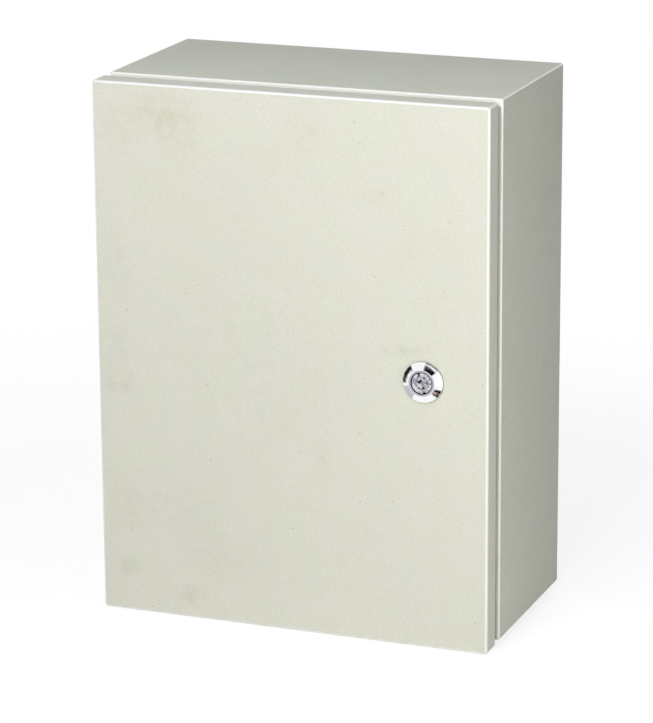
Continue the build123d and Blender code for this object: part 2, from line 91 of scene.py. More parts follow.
# Handling marks on the front of the door: centre across and up from the middle of the back,
# half width and half height in mm, what they are made of, and how dense they are.
DOOR_MARKS = (
    (-104, 177, 26, 15, "tan", 0.29),
    (-88, 162, 16, 18, "tan", 0.20),
    (-136, 160, 14, 16, "pink", 0.22),
    (8, 168, 16, 12, "tan", 0.19),
    (-18, 150, 15, 9, "pink", 0.14),
    (-60, 118, 46, 26, "pink", 0.07),
    (62, 128, 12, 8, "olive", 0.14),
    (92, 94, 9, 9, "olive", 0.12),
    (112, 100, 8, 10, "olive", 0.13),
    (112, 50, 12, 14, "olive", 0.13),
    (-137, 62, 10, 24, "grime", 0.10),
    (-141, 0, 10, 16, "grime", 0.14),
    (-139, -26, 13, 9, "grime", 0.24),
    (80, 17, 12, 5, "grime", 0.22),
    (96, 18, 7, 4, "tan", 0.20),
    (24, -64, 8, 16, "pink", 0.13),
    (-124, -120, 22, 24, "grime", 0.08),
    (-84, -118, 22, 16, "grime", 0.08),
    (-134, -170, 7, 8, "grime", 0.23),
    (-84, -186, 10, 7, "grime", 0.24),
    (-60, -150, 40, 22, "grime", 0.07),
    (-20, -20, 70, 85, "grime", 0.05),
)
MARK_COLOURS = {"tan": "#C9B995", "pink": "#DBBFAF", "olive": "#CFC794", "grime": "#A3A391"}
# How far into the sheet a mark is felt, so that it lies on the front alone.
MARK_DEPTH = 12 * MM

# What the polished head of the lock mirrors: black flags, which have no colour here, and
# matt cards. Each has the part of the head that mirrors it, as two angles round the head and
# two tilts from its front in degrees, and its distance from the lock in metres.
LOCK_PANELS = (
    ("left flag", "", (125, 184), (28.6, 34.0), 0.58),
    ("upper flag", "", (38, 79), (22.5, 31.0), 0.95),
    ("lower flag", "", (-41, -18), (30.0, 34.5), 0.228),
    ("brown card", "#CDAEA4", (-36, -27), (30.7, 32.6), 0.218),
    ("flank card", "#C9C9CE", (-166, -119), (24.0, 32.3), 0.23),
    ("face card", "#B6B6BF", (-180, 130), (0.0, 2.6), 0.6),
)

# The painted shade in the lock's groove and slots ends between these radii, just outside the groove.
RECESS_SHADE_EDGE = (8.9 * MM, 8.6 * MM)

# Depth of a metric thread over its pitch, and rows of points drawn for each turn of it.
THREAD_DEPTH = 0.61
THREAD_ROWS = 6
# A ring with a smaller radius in metres is drawn as one point.
SMALLEST = 1e-7

# Distance in metres between the rings of a wave texture whose scale is 1.
WAVE_LENGTH = math.tau / 20

WHITE = (1.0, 1.0, 1.0, 1.0)
COOL_WHITE = "#E6EEFF"


def linear(hex_colour):
    """Turns an sRGB hex colour into a linear one."""
    values = [int(hex_colour[i : i + 2], 16) / 255 for i in (1, 3, 5)]
    return tuple(v / 12.92 if v <= 0.04045 else ((v + 0.055) / 1.055) ** 2.4 for v in values)


def opaque(colour):
    """A colour with full alpha, as the sockets take it."""
    return (colour[0], colour[1], colour[2], 1.0)


def scaled(colour, *shares):
    """A colour made darker or lighter, as a whole or in each of its three parts."""
    if len(shares) == 1:
        shares *= 3
    return tuple(min(1.0, part * share) for part, share in zip(colour, shares))


def frequency(size_mm):
    """The texture scale whose pattern repeats about every size_mm."""
    return 1.0 / (size_mm * MM)


# What the settings for colours and for lengths share.
COLOUR = {"subtype": "COLOR", "min": 0.0, "max": 1.0}
LENGTH = {"subtype": "DISTANCE", "unit": "LENGTH"}


class CabinetPaintSettings(PropertyGroup):
    door_colour: FloatVectorProperty(
        name="Door colour", description="Powder coat on the door",
        default=linear("#E5E4D6"), **COLOUR,
    )
    body_colour: FloatVectorProperty(
        name="Body colour", description="Powder coat on the body",
        default=linear("#DDDFCE"), **COLOUR,
    )
    peel_size: FloatProperty(
        name="Orange peel", description="Distance between the ripples of the powder coat in mm",
        default=1.6, min=0.3, max=10.0,
    )
    door_bend: FloatProperty(
        name="Door bend", description="Outside radius of the bends round the door",
        default=2.2 * MM, **LENGTH,
    )
    body_bend: FloatProperty(
        name="Body bend", description="Outside radius of the bends round the body",
        default=1.6 * MM, **LENGTH,
    )
    roughness: FloatProperty(
        name="Roughness", description="Roughness of the powder coat",
        subtype="FACTOR", default=0.50, min=0.0, max=1.0,
    )


class CabinetHardwareSettings(PropertyGroup):
    zinc_colour: FloatVectorProperty(
        name="Zinc colour", description="Bright zinc plate on nuts, studs and hinges",
        default=linear("#C6C8CA"), **COLOUR,
    )
    sheet_colour: FloatVectorProperty(
        name="Galvanised colour",
        description="Hot-dip zinc on the mounting plate and gland plate",
        default=linear("#B4B8BA"), **COLOUR,
    )
    coarse_pitch: FloatProperty(
        name="M6 pitch", description="Thread pitch of the 6 mm studs",
        default=1.0 * MM, **LENGTH,
    )
    fine_pitch: FloatProperty(
        name="M5 pitch", description="Thread pitch of the 5 mm studs",
        default=0.8 * MM, **LENGTH,
    )
    thread_play: FloatProperty(
        name="Thread play", description="Room between a stud and the bore of its nut",
        default=0.05 * MM, **LENGTH,
    )


class CabinetLockSettings(PropertyGroup):
    chrome_colour: FloatVectorProperty(
        name="Chrome colour", description="Polished chrome on the lock case",
        default=linear("#F6F7F8"), **COLOUR,
    )
    satin_colour: FloatVectorProperty(
        name="Satin colour", description="Satin nickel on the plug and the core",
        default=linear("#E2E2E6"), **COLOUR,
    )
    face_radius: FloatProperty(
        name="Face radius", description="Radius of the flat ring round the groove",
        default=9.7 * MM, **LENGTH,
    )
    groove_radius: FloatProperty(
        name="Groove radius", description="Radius of the hole that the plug turns in",
        default=8.3 * MM, **LENGTH,
    )
    groove_depth: FloatProperty(
        name="Groove depth",
        description="Depth of the groove round the plug, from the front of the lock",
        default=3.7 * MM, **LENGTH,
    )
    head_height: FloatProperty(
        name="Head height", description="Height of the head over its rubber ring",
        default=4.2 * MM, **LENGTH,
    )
    rim_height: FloatProperty(
        name="Rim height", description="Height of the upright rim at the foot of the head",
        default=1.2 * MM, **LENGTH,
    )
    barrel_radius: FloatProperty(
        name="Barrel radius", description="Radius of the threaded barrel",
        default=11.0 * MM, **LENGTH,
    )
    stem_radius: FloatProperty(
        name="Stem bore radius", description="Radius of the bore behind the groove",
        default=6.05 * MM, **LENGTH,
    )
    barrel_pitch: FloatProperty(
        name="Barrel pitch", description="Thread pitch of the barrel",
        default=1.5 * MM, **LENGTH,
    )


class CabinetSealSettings(PropertyGroup):
    foam_colour: FloatVectorProperty(
        name="Foam colour", description="Foamed polyurethane seal",
        default=linear("#3A3B3C"), **COLOUR,
    )
    rubber_colour: FloatVectorProperty(
        name="Rubber colour", description="Moulded rubber of the grommets and flat seals",
        default=linear("#232425"), **COLOUR,
    )
    bead_width: FloatProperty(
        name="Bead width", description="Width of the foamed bead",
        default=10.0 * MM, **LENGTH,
    )
    bead_corner: FloatProperty(
        name="Bead corner radius", description="Radius of the bead's middle line at the corners",
        default=5.4 * MM, **LENGTH,
    )
    membrane: FloatProperty(
        name="Membrane", description="Thickness of the grommet's closed membrane",
        default=1.0 * MM, **LENGTH,
    )


class CabinetStageSettings(PropertyGroup):
    lens: FloatProperty(
        name="Lens", description="Focal length for a 36 mm long side",
        subtype="DISTANCE_CAMERA", unit="CAMERA", default=171.24,
    )
    azimuth: FloatProperty(
        name="Azimuth", description="Turn of the camera to the right of the front",
        subtype="ANGLE", default=math.radians(21.33),
    )
    elevation: FloatProperty(
        name="Elevation", description="Height of the camera over the horizon",
        subtype="ANGLE", default=math.radians(15.85),
    )
    roll: FloatProperty(
        name="Roll", description="Lean of the camera",
        subtype="ANGLE", default=math.radians(-0.40),
    )
    distance: FloatProperty(
        name="Distance", description="Distance of the camera from the middle of the cabinet",
        default=2.56, **LENGTH,
    )
    floor_colour: FloatVectorProperty(
        name="Floor colour", description="Pale studio floor",
        default=linear("#F4F4F2"), **COLOUR,
    )
    room_light: FloatProperty(
        name="Room light", description="Strength of the even light that fills the room",
        default=0.06, min=0.0, max=2.0,
    )


def add_node(tree, kind, inputs=None, **settings):
    """Adds a node, gives it its settings, and sets or links its inputs.

    An input that is given a node is linked to that node's first output.
    """
    node = tree.nodes.new(kind)
    for name, value in settings.items():
        setattr(node, name, value)
    for key, value in (inputs or {}).items():
        source = value.outputs[0] if isinstance(value, bpy.types.Node) else value
        if isinstance(source, bpy.types.NodeSocket):
            tree.links.new(source, node.inputs[key])
        else:
            node.inputs[key].default_value = source
    return node


def empty_material(name):
    """A new material without a shader, its tree, and the place on the object in metres."""
    material = bpy.data.materials.new(name)
    material.use_nodes = True
    tree = material.node_tree
    tree.nodes.clear()
    return material, tree, add_node(tree, "ShaderNodeTexCoord").outputs["Object"]


def noise_socket(tree, place, size_mm, detail=2.0, low=0.3, high=0.7, to_low=0.0, to_high=1.0):
    """Noise of the given size, spread to the range from to_low to to_high."""
    noise = add_node(
        tree,
        "ShaderNodeTexNoise",
        {"Vector": place, "Scale": frequency(size_mm), "Detail": detail},
    )
    spread = {"From Min": low, "From Max": high, "To Min": to_low, "To Max": to_high}
    return add_node(tree, "ShaderNodeMapRange", {"Value": noise, **spread}).outputs["Result"]


def coated(tree, tone, *coats):
    """A tone with coats of colour over it.

    A coat is how much of it shows, its colour, and its blend where that is not a plain mix.
    """
    for amount, colour, *blend in coats:
        under = tone if isinstance(tone, bpy.types.NodeSocket) else opaque(tone)
        tone = add_node(
            tree,
            "ShaderNodeMix",
            {0: amount, 6: under, 7: opaque(colour)},
            data_type="RGBA",
            blend_type=blend[0] if blend else "MIX",
        ).outputs[2]
    return tone


def rippled(tree, place, size_mm, detail=2.0, strength=1.0, depth_mm=0.1, **relief):
    """Ripples of one size and depth, pressed into a surface that may have relief already."""
    ripple = add_node(
        tree,
        "ShaderNodeTexNoise",
        {"Vector": place, "Scale": frequency(size_mm), "Detail": detail},
    )
    pressed = {"Strength": strength, "Distance": depth_mm * MM, "Height": ripple, **relief}
    return add_node(tree, "ShaderNodeBump", pressed)


def finish_surface(material, tone, gloss, relief, **kind):
    """Closes a material with its tone, its roughness, its relief and what kind it is."""
    parts = {"Base Color": tone, "Roughness": gloss, "Normal": relief, **kind}
    shader = add_node(material.node_tree, "ShaderNodeBsdfPrincipled", parts)
    add_node(material.node_tree, "ShaderNodeOutputMaterial", {"Surface": shader})
    return material


def bend_mask(tree, place, low, high, bend):
    """1 along the outside bends of a folded box and 0 on its flat sides."""
    middle = tuple((low + high) / 2)
    half = tuple((high - low) / 2)
    local = add_node(tree, "ShaderNodeVectorMath", {0: place, 1: middle}, operation="SUBTRACT")
    folded = add_node(tree, "ShaderNodeVectorMath", {0: local}, operation="ABSOLUTE")
    inward = add_node(tree, "ShaderNodeVectorMath", {0: half, 1: folded}, operation="SUBTRACT")
    across, deep, up = add_node(tree, "ShaderNodeSeparateXYZ", {"Vector": inward}).outputs
    # The second smallest of the three depths is small only where two sides meet.
    nearer = add_node(tree, "ShaderNodeMath", {0: across, 1: up}, operation="MINIMUM")
    farther = add_node(tree, "ShaderNodeMath", {0: across, 1: up}, operation="MAXIMUM")
    fronted = add_node(tree, "ShaderNodeMath", {0: farther, 1: deep}, operation="MINIMUM")
    second = add_node(tree, "ShaderNodeMath", {0: nearer, 1: fronted}, operation="MAXIMUM")
    return add_node(
        tree,
        "ShaderNodeMapRange",
        {"Value": second, "From Min": 0.90 * bend, "From Max": 0.50 * bend},
        interpolation_type="SMOOTHSTEP",
    )


def overlap(tree, *limits):
    """1 where both measures are past their second limit, 0 where one is short of its first."""
    first, second = (
        add_node(tree, "ShaderNodeMapRange", {"Value": value, "From Min": none, "From Max": full})
        for value, none, full in limits
    )
    return add_node(tree, "ShaderNodeMath", {0: first, 1: second}, operation="MULTIPLY")


# How the hue of the powder coat wanders: size in mm, the noise where it starts and where it
# is full, its shares of red, green and blue, and the step to fresh noise in metres.
HUES = (
    (48.0, 0.36, 0.66, (0.975, 1.0, 0.950), (0.31, 0.17, 0.53)),
    (34.0, 0.48, 0.74, (1.012, 0.985, 1.020), (0.7, 0.4, 0.9)),
    (22.0, 0.52, 0.80, (0.960, 0.985, 1.015), (0.7, 0.4, 0.9)),
)


def wandering_hue(tree, place, tone, colour):
    """Lets the tone wander between a breath of green, of lilac and of blue."""
    for size_mm, bare, full, shares, step in HUES:
        place = add_node(
            tree, "ShaderNodeVectorMath", {0: place, 1: step}, operation="ADD"
        ).outputs["Vector"]
        amount = noise_socket(tree, place, size_mm, detail=5.0, low=bare, high=full)
        tone = coated(tree, tone, (amount, scaled(colour, *shares)))
    return tone


def hand_marks(tree, place, tone, marks):
    """Lays the faint, ragged marks of hands and packing over the tone."""
    ragged = noise_socket(tree, place, 9.0, detail=5.0, low=0.34, high=0.64)
    for across, up, half_width, half_height, kind, density in marks:
        patch = {
            "Vector": place,
            "Location": (across * MM, DOOR_LOW.y, up * MM),
            "Scale": (half_width * MM, MARK_DEPTH, half_height * MM),
        }
        local = add_node(tree, "ShaderNodeMapping", patch, vector_type="TEXTURE")
        reach = add_node(tree, "ShaderNodeVectorMath", {0: local}, operation="LENGTH")
        fade = add_node(
            tree,
            "ShaderNodeMapRange",
            {"Value": reach.outputs["Value"], "From Min": 1.8, "From Max": 0.0, "To Max": density},
            interpolation_type="SMOOTHERSTEP",
        )
        amount = add_node(tree, "ShaderNodeMath", {0: fade, 1: ragged}, operation="MULTIPLY")
        tone = coated(tree, tone, (amount, linear(MARK_COLOURS[kind])))
    return tone


def painted_body_shade_and_light(tree, place, tone, low, high, frame_light_width):
    """Paints shade on the coat from the front of the body to its back, and paints light on its front
    frame.
    """
    _, deep, up = add_node(tree, "ShaderNodeSeparateXYZ", {"Vector": place}).outputs
    # Painted shade: toward the back the tone is painted darker, where the light falls off along the top
    # and side.
    back_shade = add_node(
        tree, "ShaderNodeMapRange", {"Value": deep, "From Min": 0.85 * low.y, "From Max": 0.0}
    )
    # Painted light: along the top of the front frame, which the door shades, the tone is painted paler.
    frame_light = overlap(
        tree,
        (up, high.z - 1.15 * frame_light_width, high.z - frame_light_width),
        (deep, low.y + 0.9 * MM, low.y + 0.3 * MM),
    )
    return coated(tree, tone, (back_shade, (0.87,) * 3, "MULTIPLY"), (frame_light, linear("#F8F8EE")))


def powder_coated_steel(name, colour, settings, low, high, bend, marks=(), frame_light_band=0.0):
    """Polyester powder coat, sprayed and baked on sheet steel.

    It gives a satin sheen that lies over a very fine orange peel, a film whose tone drifts
    slightly over the panel, a painted highlight along the bends, which are also glossier,
    a few dust nibs, and the faint marks of hands and packing.
    """
    material, tree, place = empty_material(name)
    # The film drifts in thickness over about 90 mm, and is cloudy at about 14 mm.
    thinner = scaled(colour, 0.965)
    drift = noise_socket(tree, place, 90.0, detail=3.0)
    cloud = noise_socket(tree, place, 14.0, detail=4.0, to_high=0.6)
    tone = coated(tree, thinner, (drift, colour), (cloud, thinner))
    tone = wandering_hue(tree, place, tone, colour)
    # The real speckle is near 0.3 mm, too fine to show, so it is drawn at 1.3 mm.
    speckle = noise_socket(tree, place, 1.3, low=0.38, high=0.62, to_high=0.8)
    # Dust nibs baked into the film: about 1 mm across, one in every 50 mm or so.
    nibs = add_node(tree, "ShaderNodeTexVoronoi", {"Vector": place, "Scale": frequency(17.0)})
    nib_edge = {"Value": nibs, "From Min": 0.050, "From Max": 0.020, "To Max": 0.6}
    nib = add_node(tree, "ShaderNodeMapRange", nib_edge)
    tone = coated(tree, tone, (speckle, scaled(colour, 0.89)), (nib, linear("#A89C7E")))
    if marks:
        tone = hand_marks(tree, place, tone, marks)
    # On the body: painted shade toward the back and painted light along the front frame.
    if frame_light_band:
        tone = painted_body_shade_and_light(tree, place, tone, low, high, frame_light_band)
    # Round the bends a highlight is painted: the tone goes near white, and the film is smooth enough to
    # gleam.
    bend_highlight = bend_mask(tree, place, low, high, bend)
    tone = coated(tree, tone, (bend_highlight, linear("#FFFFFC")))
    rough = settings.roughness
    flat = noise_socket(tree, place, 30.0, detail=3.0, to_low=rough - 0.04, to_high=rough + 0.05)
    gloss = add_node(tree, "ShaderNodeMix", {0: bend_highlight, 2: flat, 3: 0.18}, data_type="FLOAT")
    # A pressed panel is never quite flat: its face swings by about 0.1 mm over 130 mm.
    sway = rippled(tree, place, 130.0, detail=1.0, strength=0.5, depth_mm=0.4)
    peel = rippled(tree, place, settings.peel_size, strength=0.7, depth_mm=0.10, Normal=sway)
    return finish_surface(material, tone, gloss, peel, IOR=1.5)


def hot_dip_galvanised_steel(name, colour):
    """Hot-dip galvanised sheet, as rolled.

    It shows the spangle of frozen zinc: flakes about 9 mm across, each with its own grey
    and its own gloss.
    """
    material, tree, place = empty_material(name)
    # The flakes' edges wander by a few millimetres.
    ragged = add_node(
        tree, "ShaderNodeTexNoise", {"Vector": place, "Scale": frequency(7.0), "Detail": 3.0}
    )
    shifted = add_node(
        tree,
        "ShaderNodeVectorMath",
        {0: ragged.outputs["Color"], 1: (4 * MM,) * 3, 2: place},
        operation="MULTIPLY_ADD",
    )
    flakes = add_node(tree, "ShaderNodeTexVoronoi", {"Vector": shifted, "Scale": frequency(9.0)})
    own = add_node(tree, "ShaderNodeSeparateColor", {"Color": flakes.outputs["Color"]})
    streaks = noise_socket(tree, place, 2.5, detail=4.0, to_high=0.3)
    dark, bright, dull = (scaled(colour, share) for share in (0.80, 1.06, 0.9))
    tone = coated(tree, dark, (own.outputs[0], bright), (streaks, dull))
    own_gloss = {"Value": own.outputs[1], "To Min": 0.30, "To Max": 0.52}
    gloss = add_node(tree, "ShaderNodeMapRange", own_gloss)
    grain = rippled(tree, place, 1.5, detail=3.0, strength=0.3, depth_mm=0.03)
    return finish_surface(material, tone, gloss, grain, Metallic=1.0)


def bright_zinc_plate(name, colour):
    """Steel fasteners barrel plated with zinc and blue passivated.

    It gives a bright silver with a breath of blue and straw, and tiny tumbling dents.
    """
    material, tree, place = empty_material(name)
    film = noise_socket(tree, place, 6.0)
    bluish, straw = scaled(colour, 0.95, 0.99, 1.06), scaled(colour, 1.03, 1.0, 0.90)
    gloss = noise_socket(tree, place, 2.0, detail=3.0, to_low=0.24, to_high=0.40)
    # Tumbling dents are near 0.2 mm; they are drawn at 0.8 mm so that they show.
    dents = rippled(tree, place, 0.8, strength=0.35, depth_mm=0.03)
    return finish_surface(material, coated(tree, bluish, (film, straw)), gloss, dents, Metallic=1.0)


def place_on_lock(tree, place):
    """The place in metres from the middle of the lock's front."""
    centre = tuple(LOCK_CENTRE)
    return add_node(tree, "ShaderNodeVectorMath", {0: place, 1: centre}, operation="SUBTRACT")


def recess_shade_mask(tree, place, start):
    """1 in the groove and the slots of the lock, where shade is painted, and 0 on its front and its
    head.
    """
    local = place_on_lock(tree, place)
    deep = add_node(tree, "ShaderNodeSeparateXYZ", {"Vector": local}).outputs[1]
    on_front = {0: local, 1: (1.0, 0.0, 1.0)}
    flat = add_node(tree, "ShaderNodeVectorMath", on_front, operation="MULTIPLY")
    reach = add_node(tree, "ShaderNodeVectorMath", {0: flat}, operation="LENGTH")
    deep_enough = (deep, start, start + 0.3 * MM)
    return overlap(tree, deep_enough, (reach.outputs["Value"], *RECESS_SHADE_EDGE))


def chromed_zinc(name, colour):
    """Zinc die casting, polished and chrome plated.

    It gives a clear mirror, broken only by a soft ripple from polishing, a few dull spots and painted
    shade in the groove.
    """
    material, tree, place = empty_material(name)
    dull = noise_socket(tree, place, 3.5, detail=4.0, low=0.52, high=0.75)
    # Painted shade: the groove is painted near black.
    recess_shade = recess_shade_mask(tree, place, 0.15 * MM)
    tone = coated(tree, colour, (dull, scaled(colour, 0.86)), (recess_shade, linear("#141416")))
    gloss = noise_socket(tree, place, 2.2, detail=3.0, to_low=0.05, to_high=0.13)
    ripple = rippled(tree, place, 5.0, detail=1.0, strength=0.3, depth_mm=0.08)
    return finish_surface(material, tone, gloss, ripple, Metallic=1.0)


def satin_nickel(name, colour):
    """Zinc die casting with a face-turned, nickel-plated front.

    It shows faint rings round the lock's axis, a soft, slightly stained sheen, and painted shade in its
    slots.
    """
    material, tree, place = empty_material(name)
    # Turning rings are near 0.1 mm apart, too fine to show, so they are drawn at about 3 mm.
    rings = add_node(
        tree,
        "ShaderNodeTexWave",
        {
            "Vector": place_on_lock(tree, place),
            "Scale": WAVE_LENGTH / (math.pi * MM),
            "Distortion": 0.6,
            "Detail": 1.0,
        },
        wave_type="RINGS",
        rings_direction="Y",
    )
    stain = noise_socket(tree, place, 2.6, detail=4.0, low=0.48, high=0.62)
    # Painted shade: the slots and the bottom of the keyhole are painted near black, patchily.
    recess_shade = recess_shade_mask(tree, place, 0.95 * MM)
    patchy_shade = noise_socket(tree, place, 3.4, detail=3.0, low=0.44, high=0.51, to_low=0.18)
    patchy_recess_shade = add_node(tree, "ShaderNodeMath", {0: recess_shade, 1: patchy_shade}, operation="MULTIPLY")
    tone = coated(tree, colour, (stain, linear("#9C9CA8")), (patchy_recess_shade, linear("#121214")))
    gloss = noise_socket(tree, place, 1.5, to_low=0.20, to_high=0.34)
    turned = add_node(
        tree,
        "ShaderNodeBump",
        {"Strength": 0.25, "Distance": 0.03 * MM, "Height": rings.outputs["Fac"]},
    )
    # The casting under the plate is uneven, with soft dents about 1.6 mm apart.
    dents = rippled(tree, place, 1.6, detail=1.0, strength=0.6, depth_mm=0.36, Normal=turned)
    return finish_surface(material, tone, gloss, dents, Metallic=1.0)


def soft_polymer(name, colour, grain_mm, depth_mm, rough, cell_share):
    """A matt rubber or foam: a tone that shifts with the grain, and pores pressed into it."""
    material, tree, place = empty_material(name)
    shade = noise_socket(tree, place, grain_mm * 9, detail=3.0)
    dust = noise_socket(tree, place, grain_mm * 3, detail=4.0, low=0.5, high=0.8, to_high=0.25)
    dark, light, dusty = (scaled(colour, share) for share in (0.82, 1.18, 2.1))
    tone = coated(tree, dark, (shade, light), (dust, dusty))
    gloss = noise_socket(tree, place, grain_mm * 4, to_low=rough - 0.06, to_high=rough + 0.06)
    pattern = {"Vector": place, "Scale": frequency(grain_mm)}
    grain = add_node(tree, "ShaderNodeTexNoise", {**pattern, "Detail": 2.0})
    cells = add_node(tree, "ShaderNodeTexVoronoi", pattern)
    mixed = {0: cell_share, 2: grain, 3: cells}
    height = add_node(tree, "ShaderNodeMix", mixed, data_type="FLOAT")
    pores = {"Strength": 0.6, "Distance": depth_mm * MM, "Height": height}
    return finish_surface(material, tone, gloss, add_node(tree, "ShaderNodeBump", pores), IOR=1.5)


def foamed_polyurethane(name, colour):
    """Polyurethane foamed in place: a matt skin over small cells, about 0.9 mm as drawn."""
    return soft_polymer(name, colour, 0.9, 0.12, 0.78, 0.6)


def moulded_rubber(name, colour):
    """Moulded EPDM rubber: dull black with a fine grain from the mould and a little dust."""
    return soft_polymer(name, colour, 0.7, 0.04, 0.62, 0.2)


def give(node_names, material):
    """Puts a material on the objects of CAD nodes."""
    for name in node_names:
        for material_slot in frame["nodes"][name].material_slots:
            material_slot.link = "OBJECT"
            material_slot.material = material


def soften_edges(node_names, width):
    """Breaks the sharp edges of CAD nodes, as tumbling and plating do."""
    for name in node_names:
        node = frame["nodes"][name]
        weld = node.modifiers.new("weld", "WELD")
        weld.merge_threshold = 0.001 * MM
        bevel = node.modifiers.new("soft edges", "BEVEL")
        bevel.width = width
        bevel.segments = 2
        bevel.limit_method = "ANGLE"
        bevel.angle_limit = math.radians(40)
        bevel.harden_normals = True


def solids(node_name):
    """The lowest and highest corners of each separate solid in a CAD node."""
    grid = bmesh.new()
    grid.from_mesh(frame["nodes"][node_name].data)
    bmesh.ops.remove_doubles(grid, verts=grid.verts, dist=0.0001 * MM)
    grid.verts.ensure_lookup_table()
    seen = set()
    boxes = []
    for start in grid.verts:
        if start in seen:
            continue
        seen.add(start)
        waiting = [start]
        points = []
        while waiting:
            vertex = waiting.pop()
            points.append(vertex.co.copy())
            for edge in vertex.link_edges:
                other = edge.other_vert(vertex)
                if other not in seen:
                    seen.add(other)
                    waiting.append(other)
        low = Vector(min(p[i] for p in points) for i in range(3))
        high = Vector(max(p[i] for p in points) for i in range(3))
        boxes.append((low, high))
    grid.free()
    return boxes


def axis_matrix(axis, origin):
    """Turns local Z to the named axis and moves the local origin to the given place."""
    turns = {
        "X": Matrix.Rotation(math.radians(90), 4, "Y"),
        "Y": Matrix.Rotation(math.radians(-90), 4, "X"),
        "Z": Matrix.Identity(4),
    }
    return Matrix.Translation(origin) @ turns[axis]


def revolve(grid, profile, matrix, segments, pitch=0.0, root=0.0, closed=False):
    """Turns a profile of (radius, height) round local Z.

    A point that has True as well lies on a screw thread, which is cut in by root.
    """
    rings = []
    for radius, height, *threaded in profile:
        if radius < SMALLEST:
            rings.append([grid.verts.new(matrix @ Vector((0.0, 0.0, height)))])
            continue
        ring = []
        for step in range(segments):
            turn = step / segments
            reach = radius
            if threaded:
                # The flanks are cut off, which leaves the thread a flat crest and root.
                flank = abs(2.0 * ((height / pitch - turn) % 1.0) - 1.0) * 1.25 - 0.12
                reach -= root * min(1.0, max(0.0, flank))
            angle = 2.0 * math.pi * turn
            local = Vector((reach * math.cos(angle), reach * math.sin(angle), height))
            ring.append(grid.verts.new(matrix @ local))
        rings.append(ring)
    pairs = list(zip(rings, rings[1:]))
    if closed:
        pairs.append((rings[-1], rings[0]))
    for first, second in pairs:
        count = max(len(first), len(second))
        for step in range(count):
            ahead = (step + 1) % count
            corners = []
            for ring, at in ((first, step), (first, ahead), (second, ahead), (second, step)):
                vertex = ring[at % len(ring)]
                if vertex not in corners:
                    corners.append(vertex)
            grid.faces.new(corners)


def join_rings(grid, pairs):
    """Faces between rings that all have as many points."""
    for first, second in pairs:
        for step in range(len(first)):
            ahead = (step + 1) % len(first)
            grid.faces.new((first[step], first[ahead], second[ahead], second[step]))


def threaded_rod(grid, radius, length, matrix, pitch):
    """A stud from local Z 0 to length, threaded to a chamfered end."""
    root = THREAD_DEPTH * pitch
    chamfer = 0.5 * pitch
    rows = max(8, int(length / pitch * THREAD_ROWS))
    profile = [(0.0, 0.0), (radius, 0.0)]
    for row in range(1, rows):
        profile.append((radius, (length - chamfer) * row / rows, True))
    profile.append((radius - 0.35 * root, length - chamfer))
    profile += [(radius - root, length), (0.0, length)]
    revolve(grid, profile, matrix, segments=28, pitch=pitch, root=root)


def hexagon_nut(grid, flats, height, bore, matrix, corner_turn=0.0, facets=96, solid=False):
    """A nut from local Z 0 to height, with both faces turned to a 30 degree chamfer.

    With solid set it is a screw head with a shallow dish on top.
    """
    apothem = flats / 2
    # The radius where the chamfer starts, its slope, the lip of the bore and the dish's depth.
    circle = apothem * 0.965
    fall = math.tan(math.radians(30))
    lip = 0.06 * flats
    dish = 0.04 * flats
    if solid:
        rows = (("flat", 0.0), ("circle", 0.0), ("low", 0.0), ("high", 0.0), ("circle", 1.0))
        rows += (("dish", 1.0),)
    else:
        rows = (("bore", 0.5), ("bore", 0.12), ("mouth", 0.0), ("circle", 0.0), ("low", 0.0))
        rows += (("high", 0.0), ("circle", 1.0), ("mouth", 1.0), ("bore", 0.88))
    rings = []
    for kind, share in rows:
        ring = []
        for step in range(facets):
            angle = 2.0 * math.pi * step / facets
            side = apothem / math.cos((angle % math.radians(60)) - math.radians(30))
            drop = (side - circle) * fall
            reach, level = {
                "bore": (bore, height * share),
                "mouth": (bore + lip, height * share),
                "flat": (circle * 0.6, 0.0),
                "dish": (circle * 0.86, height - dish),
                "circle": (circle, height * share),
                "low": (side, drop),
                "high": (side, height - drop),
            }[kind]
            turned = angle + corner_turn
            local = Vector((reach * math.cos(turned), reach * math.sin(turned), level))
            ring.append(grid.verts.new(matrix @ local))
        rings.append(ring)
    pairs = list(zip(rings, rings[1:]))
    if solid:
        for ring in (rings[0], rings[-1]):
            grid.faces.new(ring)
    else:
        pairs.append((rings[-1], rings[0]))
    join_rings(grid, pairs)


def finish_piece(name, grid, material, node_names, crease=32.0):
    """Makes the piece's object, shades it, gives it its material and body, and hides its CAD nodes."""
    bmesh.ops.recalc_face_normals(grid, faces=grid.faces)
    mesh = bpy.data.meshes.new(name)
    grid.to_mesh(mesh)
    grid.free()
    mesh.polygons.foreach_set("use_smooth", [True] * len(mesh.polygons))
    mesh.set_sharp_from_angle(angle=math.radians(crease))
    piece = bpy.data.objects.new(name, mesh)
    bpy.context.collection.objects.link(piece)
    mesh.materials.append(material)
    body = body_of(frame["nodes"][node_names[0]])[0]
    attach(piece, body)
    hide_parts(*node_names)


def long_axis(axis, low, high, from_high):
    """A matrix at one end of a solid, pointing along its axis to the other end."""
    middle = (low + high) / 2
    index = "XYZ".index(axis)
    middle[index] = high[index] if from_high else low[index]
    matrix = axis_matrix(axis, middle)
    return matrix @ Matrix.Rotation(math.pi, 4, "X") if from_high else matrix


def build_nuts(name, node_name, axis, bore, zinc, facets=96):
    """Chamfered hexagon nuts where a CAD node has plain ones."""
    grid = bmesh.new()
    index = "XYZ".index(axis)
    for low, high in solids(node_name):
        size = high - low
        flats = min(size[i] for i in range(3) if i != index)
        matrix = long_axis(axis, low, high, False)
        # A corner of every nut points along X, or along Y where X is the nut's own axis.
        corner_turn = math.radians(90) if axis == "X" else 0.0
        hexagon_nut(grid, flats, size[index], bore, matrix, corner_turn, facets)
    finish_piece(name, grid, zinc, [node_name])


